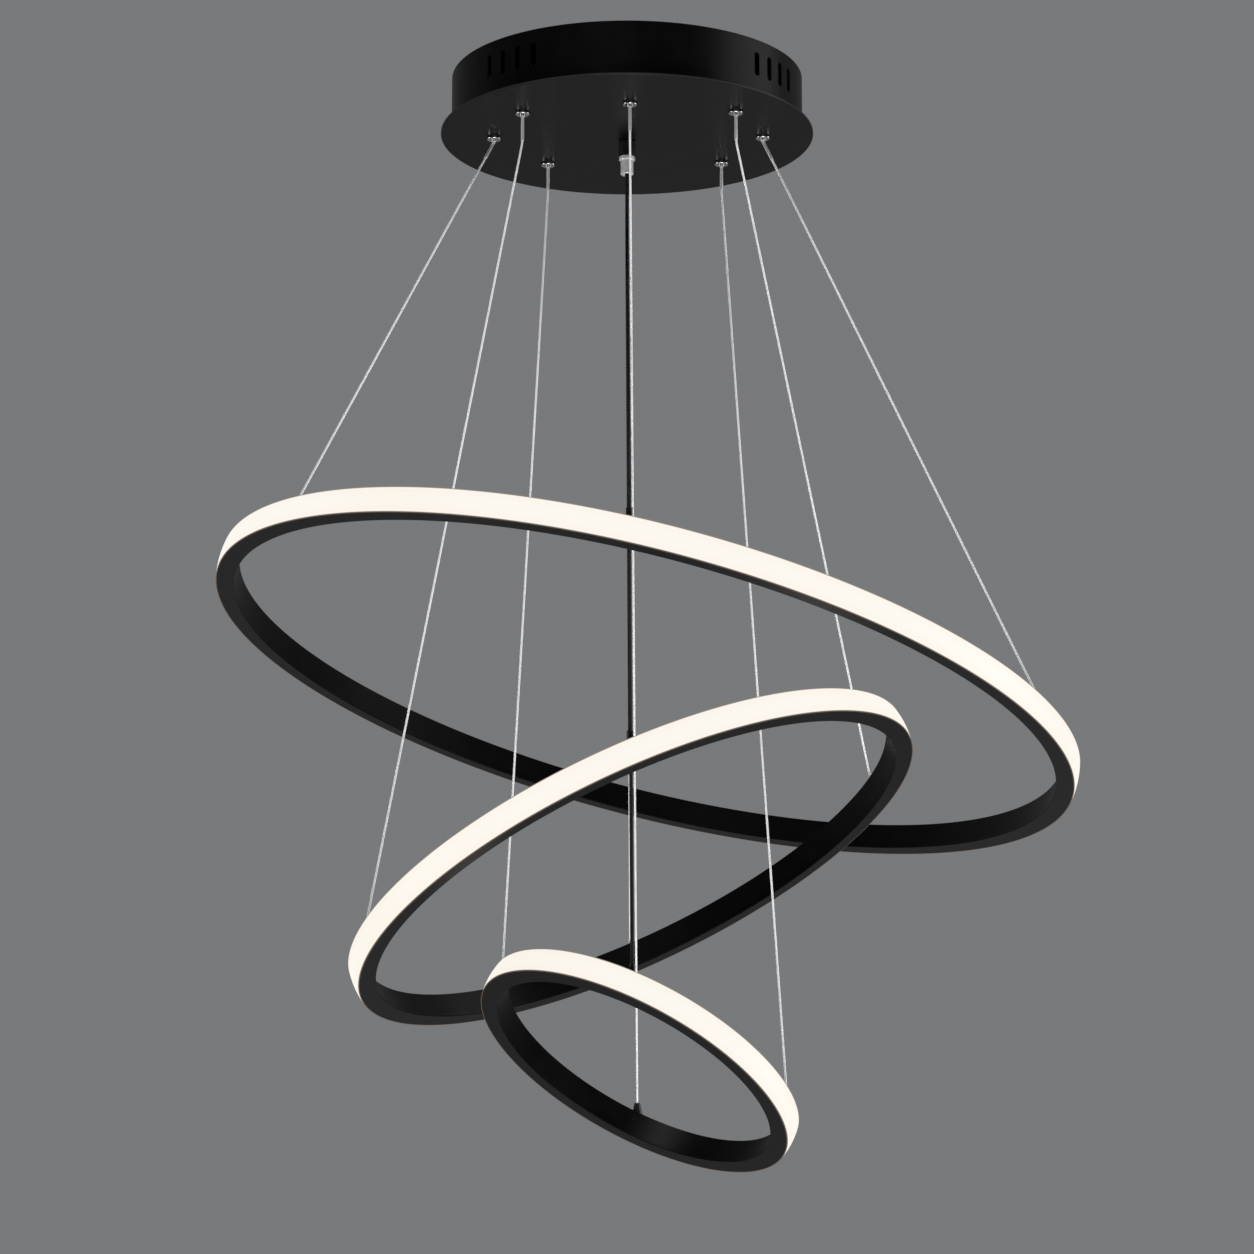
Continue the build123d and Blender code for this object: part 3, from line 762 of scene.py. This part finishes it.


# suspension wires: each a smooth tube from its gripper, down through a corner below it, straight into its
# anchor on the ring
wire = {
    "diameter": 0.0015,
    "sides": 10,
    "top": -0.0205,
    "exit": -0.047,
    "depth": 0.0014,
    "straight": 0.009,
    "corner": {"plumb": -0.063, "leaning": -0.045},
    "tubeBelow": {"plumb": 0.0, "leaning": 0.018},
}
for name, ring in rings.items():
    ring["wireAxes"] = {}
    for side, (gripper, angle, length, tube) in ring["wires"].items():
        seat = onRing(ring, angle)
        top = Vector((*gripper, wire["top"]))
        corner = Vector((*gripper, wire["corner"][tube]))
        rise = (corner - seat).normalized()
        ring["wireAxes"][side] = inLine(seat, rise)
        above = corner + Vector((0, 0, wire["straight"]))
        below = corner - rise * wire["straight"]
        line = smoothLine([top, above, corner, below, seat - rise * wire["depth"]])
        mesh = tubeMesh("rope", line, wire["diameter"] / 2, wire["sides"])
        piece = addPiece(f"{name}_{side}_rope", mesh, None, "wire_steel", [f"{name}_{side}_wire"])
        corner - rise * wire["tubeBelow"][tube]
        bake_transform(piece)
print("wires hung")

# power cables: down through the gland's nose, across to the ring, and straight down into its sleeve
cable = {
    "diameter": 0.0025,
    "sides": 16,
    "top": -0.0255,
    "exit": -0.052,
    "nose": -0.0653,
    "corner": -0.1103,
    "straight": 0.045,
    "arrivalStraight": 0.0226,
    "rise": 0.019,
    "depth": 0.0036,
}
for name, ring in rings.items():
    seat = onRing(ring, ring["cableAngle"])
    top, nose, corner = [Vector((0, ring["cablePlace"], cable[key])) for key in ("top", "nose", "corner")]
    arrival = seat + Vector((0, 0, cable["rise"]))
    end = seat - Vector((0, 0, cable["depth"]))
    run = (arrival - corner).normalized()
    line = smoothLine([top, nose, corner, corner + run * cable["straight"],
                       arrival - run * cable["arrivalStraight"], arrival, end])
    mesh = tubeMesh("supplyCable", line, cable["diameter"] / 2, cable["sides"])
    piece = addPiece(f"{name}_supplyCable", mesh, None, "black_cable", [f"{name}_power_cable"])
    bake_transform(piece)
print("power cables hung")

# light rings: channel with softened edges, domed diffuser plugged into its mouth
for name, ring in rings.items():
    rim, inside, wall = ring["rim"], ring["inside"], ring["wall"]
    web = wall + profile["web"]
    flangeUnder = ringTop - profile["flange"]
    lipTop = profile["lip"] - ringTop
    channel = [
        (inside, -ringTop, profile["bottomRounding"]),
        (rim, -ringTop, profile["flangeRounding"]),
        (rim, -flangeUnder, profile["mouthRounding"]),
        (web, -flangeUnder, profile["cornerRounding"]),
        (web, flangeUnder, profile["cornerRounding"]),
        (rim, flangeUnder, profile["mouthRounding"]),
        (rim, ringTop, profile["flangeRounding"]),
        (wall, ringTop, profile["topRounding"]),
        (wall, lipTop, profile["cornerRounding"]),
        (inside, lipTop, profile["topRounding"]),
    ]
    mesh = turnedMesh("channel", profile["segments"], channel, [ring["hang"]])
    addPiece(f"{name}_frame", mesh, name, "black_paint", [f"{name}_channel"])

    face = flangeUnder - profile["gap"]
    plug = rim - profile["plug"]
    seat = rim + profile["gap"]
    edge = seat + profile["domeEdge"]
    crown = rim + profile["crown"] - edge
    steps = profile["domeSteps"]
    dome = []
    for step in range(1 - steps, steps):
        bulge = crown * (1 - (step / steps) ** 2)
        dome.append((edge + bulge, ringTop * step / steps, profile["domeRounding"]))
    diffuser = dome[steps - 1:] + [
        (edge, ringTop, profile["lensRounding"]),
        (seat, ringTop, profile["seatRounding"]),
        (seat, face, profile["seatRounding"]),
        (plug, face, profile["cornerRounding"]),
        (plug, -face, profile["cornerRounding"]),
        (seat, -face, profile["seatRounding"]),
        (seat, -ringTop, profile["seatRounding"]),
        (edge, -ringTop, profile["lensRounding"]),
    ] + dome[:steps - 1]
    mesh = turnedMesh("diffuser", profile["segments"], diffuser, [ring["hang"]])
    addPiece(f"{name}_opal", mesh, name, "opal", [f"{name}_diffuser"])
print("light rings made")

# wire ends: slim ferrules in line with the wires, one under a tapered cap
ferrule = {
    "diameter": 0.0024,
    "height": 0.005,
    "tail": 0.002,
    "floor": 0.0005,
    "bore": 0.00085,
    "edge": 0.00025,
    "segments": 32,
}
outline = pinOutline(ferrule["diameter"] / 2, -ferrule["tail"], ferrule["height"], ferrule["edge"],
                     ferrule["bore"], ferrule["floor"] - ferrule["tail"])
for name, ring in rings.items():
    mesh = turnedMesh("ferrule", ferrule["segments"], outline, ring["wireAxes"].values())
    addPiece(f"{name}_ferrules", mesh, name, "zinc", [f"{name}_wire_nipples"])

wireCap = {
    "base": 0.0079,
    "top": 0.0040,
    "height": 0.0084,
    "skirt": 0.0018,
    "bore": 0.00085,
    "edge": 0.0005,
    "segments": 40,
}
outline = [
    (wireCap["bore"], -wireCap["skirt"], smallEdge),
    (wireCap["base"] / 2, -wireCap["skirt"], softEdge),
    (wireCap["top"] / 2, wireCap["height"], wireCap["edge"]),
    (wireCap["bore"], wireCap["height"], smallEdge),
]
mesh = turnedMesh("wireCap", wireCap["segments"], outline, [rings["ring_3"]["wireAxes"]["rear"]])
addPiece("ring_3_wireCap", mesh, "ring_3", "black_plastic", ["ring_3_wire_nipples"])

# socket screws on the inner wall, one above the other at each wire's anchor
screw = {
    "diameter": 0.0024,
    "socket": 0.00062,
    "socketDepth": 0.0007,
    "proud": 0.00015,
    "length": 0.0044,
    "spacing": 0.0064,
    "edge": 0.00014,
    "segments": 24,
}
outline = pinOutline(screw["diameter"] / 2, -screw["length"], screw["proud"], screw["edge"],
                     screw["socket"], -screw["socketDepth"])
faceInward = Matrix.Rotation(math.radians(-90), 4, "Y")
for name, ring in rings.items():
    spots = []
    for gripper, angle, length, tube in ring["wires"].values():
        turn = ring["hang"] @ Matrix.Rotation(math.radians(angle), 4, "Z")
        for height in (-screw["spacing"] / 2, screw["spacing"] / 2):
            spots.append(turn @ Matrix.Translation((ring["wall"], 0, height)) @ faceInward)
    mesh = turnedMesh("socketScrew", screw["segments"], outline, spots)
    addPiece(f"{name}_socketScrews", mesh, name, "black_steel", [f"{name}_anchor_screws"])

# sleeves where the power cables enter the rings
sleeve = {
    "diameter": 0.0042,
    "height": 0.007,
    "tail": 0.0036,
    "bore": 0.00135,
    "edge": 0.0004,
    "tailEdge": 0.0003,
    "segments": 40,
}
outline = [
    (sleeve["bore"], -sleeve["tail"], smallEdge),
    (sleeve["diameter"] / 2, -sleeve["tail"], sleeve["tailEdge"]),
    (sleeve["diameter"] / 2, sleeve["height"], sleeve["edge"]),
    (sleeve["bore"], sleeve["height"], softEdge),
]
for name, ring in rings.items():
    spots = [Matrix.Translation(onRing(ring, ring["cableAngle"]))]
    mesh = turnedMesh("sleeve", sleeve["segments"], outline, spots)
    addPiece(f"{name}_sleeve", mesh, name, "black_plastic", [f"{name}_cable_sleeve"])
print("wire ends and sleeves made")

# wire grippers under the plate: collar, barrel through the plate, and a pocket for the release button
gripperShape = {
    "plateUnder": -0.041,
    "collar": 0.010,
    "collarHeight": 0.0026,
    "collarEdge": 0.0009,
    "barrel": 0.006,
    "barrelTop": -0.0265,
    "barrelEdge": 0.0004,
    "bore": 0.0009,
    "pocket": 0.00215,
    "pocketDepth": 0.00615,
    "segments": 48,
}
collarUnder = gripperShape["plateUnder"] - gripperShape["collarHeight"]
pocketTop = collarUnder + gripperShape["pocketDepth"]
outline = [
    (gripperShape["pocket"], collarUnder, softEdge),
    (gripperShape["collar"] / 2, collarUnder, gripperShape["collarEdge"]),
    (gripperShape["collar"] / 2, gripperShape["plateUnder"], smallEdge),
    (gripperShape["barrel"] / 2, gripperShape["plateUnder"], smallEdge),
    (gripperShape["barrel"] / 2, gripperShape["barrelTop"], gripperShape["barrelEdge"]),
    (gripperShape["bore"], gripperShape["barrelTop"], softEdge),
    (gripperShape["bore"], pocketTop, smallEdge),
    (gripperShape["pocket"], pocketTop, smallEdge),
]
for name, ring in rings.items():
    spots = [Matrix.Translation((*gripper, 0.0)) for gripper, angle, length, tube in ring["wires"].values()]
    mesh = turnedMesh("gripper", gripperShape["segments"], outline, spots)
    addPiece(f"{name}_wireGrippers", mesh, "canopy", "chrome", [f"{name}_grippers"])

# release plungers: a button in the gripper's pocket, and a guide tube round the wire below it
plunger = {
    "button": 0.004,
    "buttonOut": 0.0014,
    "buttonIn": 0.004,
    "buttonEdge": 0.0005,
    "bore": 0.0009,
    "tube": 0.0022,
    "tubeLength": 0.017,
    "tubeRoot": 0.0008,
    "tubeEdge": 0.0001,
    "segments": 40,
}
button = [
    (plunger["bore"], -plunger["buttonOut"], softEdge),
    (plunger["button"] / 2, -plunger["buttonOut"], plunger["buttonEdge"]),
    (plunger["button"] / 2, plunger["buttonIn"], softEdge),
    (plunger["bore"], plunger["buttonIn"], smallEdge),
]
guide = [
    (plunger["bore"], -plunger["tubeLength"], plunger["tubeEdge"]),
    (plunger["tube"] / 2, -plunger["tubeLength"], plunger["tubeEdge"]),
    (plunger["tube"] / 2, plunger["tubeRoot"], fineEdge),
    (plunger["bore"], plunger["tubeRoot"], fineEdge),
]
for name, ring in rings.items():
    for side, (gripper, angle, length, tube) in ring["wires"].items():
        body = f"{name}_{side}_plunger"
        mouth = Vector((*gripper, collarUnder))
        buttonUnder = mouth - Vector((0, 0, plunger["buttonOut"]))
        rise = buttonUnder - onRing(ring, angle) if tube == "leaning" else (0, 0, 1)
        mesh = turnedMesh("button", plunger["segments"], button, [Matrix.Translation(mouth)])
        addPiece(f"{name}_{side}_button", mesh, body, "chrome", [body])
        mesh = turnedMesh("guideTube", plunger["segments"], guide, [inLine(buttonUnder, rise)])
        addPiece(f"{name}_{side}_guideTube", mesh, body, "zinc", [body])
print("grippers made")

# plain studio: pale floor well below, grey backdrop for the eye, soft lamps
floorShape = {
    "level": -3.2,
    "size": 20.0,
    "colour": (0.74, 0.74, 0.735, 1.0),
    "cloudy": (0.69, 0.69, 0.685, 1.0),
    "cloudNoise": (3.0, 4.0),
    "roughness": 0.75,
}


def addSheet(name, points, level, material):
    mesh = bpy.data.meshes.new(name)
    mesh.from_pydata(points, [], [tuple(range(len(points)))])
    mesh.materials.append(material)
    sheet = bpy.data.objects.new(name, mesh)
    sheet.location = (0, 0, level)
    scene.collection.objects.link(sheet)
    return sheet


def makeFloor():
    material, finish = newFinish("paleFloor")
    cloud = finish.noise(finish.objectPlace(), *floorShape["cloudNoise"])
    finish.surface({
        "Base Color": finish.mixColour(cloud, floorShape["colour"], floorShape["cloudy"]),
        "Roughness": floorShape["roughness"],
    })
    half = floorShape["size"] / 2
    corners = [(-half, -half, 0), (half, -half, 0), (half, half, 0), (-half, half, 0)]
    floor = addSheet("floor", corners, floorShape["level"], material)


# dark ceiling disc over the canopy's open top: a sheet of painted shade, so the canopy's inside looks dark
# through the vents; seen from below only, and it casts no shadow
shadeDiscShape = {"level": 0.0002, "reach": 0.1205, "sides": 64, "colour": (0.003, 0.003, 0.003, 1.0)}


def makeShadeDisc():
    material, finish = newFinish("paintedShadeDisc")
    seenBelow = 1.0 - finish.node("NewGeometry", output="Backfacing")
    lampRay = finish.node("LightPath", output="Is Shadow Ray")
    clear = finish.node("BsdfTransparent")
    # painted shade: a near-black sheet that stands for the shade inside the canopy
    dark = finish.node("BsdfDiffuse", None, {"Color": shadeDiscShape["colour"]})
    shader = finish.node("MixShader", None, {0: seenBelow * (1.0 - lampRay), 1: clear, 2: dark})
    finish.node("OutputMaterial", None, {"Surface": shader})
    reach = shadeDiscShape["reach"]
    rim = []
    for step in range(shadeDiscShape["sides"]):
        turn = math.tau * step / shadeDiscShape["sides"]
        rim.append((reach * math.cos(turn), -reach * math.sin(turn), 0.0))
    shadeDisc = addSheet("shadeDisc", rim, shadeDiscShape["level"], material)


# the backdrop is seen all round, but gloss shows it behind the object only, with a dark room in front
backdrop = {
    "seen": (0.190, 0.193, 0.200, 1.0),
    "fill": (0.30, 0.30, 0.305, 1.0),
    "glossBack": (0.150, 0.152, 0.157, 1.0),
    "glossFront": (0.012, 0.012, 0.013, 1.0),
    "behindRange": (0.28, 0.62),
    "strength": 1.0,
}


def makeBackdrop():
    world = bpy.data.worlds.new("studio")
    world.use_nodes = True
    scene.world = world
    finish = Finish(world.node_tree)
    cameraRay = finish.node("LightPath", output="Is Camera Ray")
    glossyRay = finish.node("LightPath", output="Is Glossy Ray")
    clearRay = finish.node("LightPath", output="Is Transmission Ray")
    backward = finish.split(finish.node("TexCoord", output="Generated"), "Y")
    behind = finish.ramp(0.5 + 0.5 * backward, *backdrop["behindRange"])
    gloss = finish.mixColour(behind, backdrop["glossFront"], backdrop["glossBack"])
    unseen = finish.mixColour(glossyRay, backdrop["fill"], gloss)
    colour = finish.mixColour(cameraRay.larger(clearRay), unseen, backdrop["seen"])
    light = finish.node("Background", None, {"Color": colour, "Strength": backdrop["strength"]})
    finish.node("OutputWorld", None, {"Surface": light})


# the low side lamps leave out the black coat, which would mirror them at a glancing angle
lamps = {
    "rightLamp": {
        "place": (2.9, 0.3, -0.45), "aim": (0, 0, -0.4), "size": 1.4, "power": 30.0,
        "colour": (1.0, 0.99, 0.97), "onCoat": False,
    },
    "upperRightLamp": {
        "place": (2.75, -0.2, 1.0), "aim": (0, 0, 0), "size": 2.4, "power": 26.0,
        "colour": (1.0, 0.99, 0.97), "onCoat": True,
    },
    "leftLamp": {
        "place": (-2.8, -0.5, -0.5), "aim": (0, 0, -0.3), "size": 1.3, "power": 26.0,
        "colour": (0.97, 0.98, 1.0), "onCoat": False,
    },
    "frontLamp": {
        "place": (-0.8, -2.2, 2.6), "aim": (0, 0, -0.4), "size": 1.6, "power": 34.0,
        "colour": (1.0, 1.0, 1.0), "onCoat": True,
    },
    "backLamp": {
        "place": (0.6, 1.8, 2.3), "aim": (0, 0, -0.45), "size": 1.4, "power": 16.0,
        "colour": (1.0, 1.0, 1.0), "onCoat": True,
    },
    "lowLamp": {
        "place": (0.2, -1.6, -2.1), "aim": (0, 0, -0.4), "size": 1.6, "power": 40.0,
        "colour": (1.0, 1.0, 1.0), "onCoat": True,
    },
}


def makeLamps():
    coats = [finishes["black_paint"], ownFinishes["canopy_plate"]]
    uncoated = bpy.data.collections.new("uncoated")
    for piece in scene.objects:
        coated = any(slot.material in coats for slot in piece.material_slots)
        if piece.type == "MESH" and not coated:
            uncoated.objects.link(piece)
    for name, setting in lamps.items():
        lamp = bpy.data.lights.new(name, "AREA")
        lamp.shape = "DISK"
        lamp.size = setting["size"]
        lamp.energy = setting["power"]
        lamp.color = setting["colour"]
        holder = bpy.data.objects.new(name, lamp)
        holder.location = setting["place"]
        aim = Vector(setting["aim"]) - Vector(setting["place"])
        holder.rotation_euler = aim.to_track_quat("-Z", "Y").to_euler()
        if not setting["onCoat"]:
            holder.light_linking.receiver_collection = uncoated
        scene.collection.objects.link(holder)


makeFloor()
makeShadeDisc()
makeBackdrop()
makeLamps()
scene.view_settings.view_transform = "Standard"
print("studio lit")
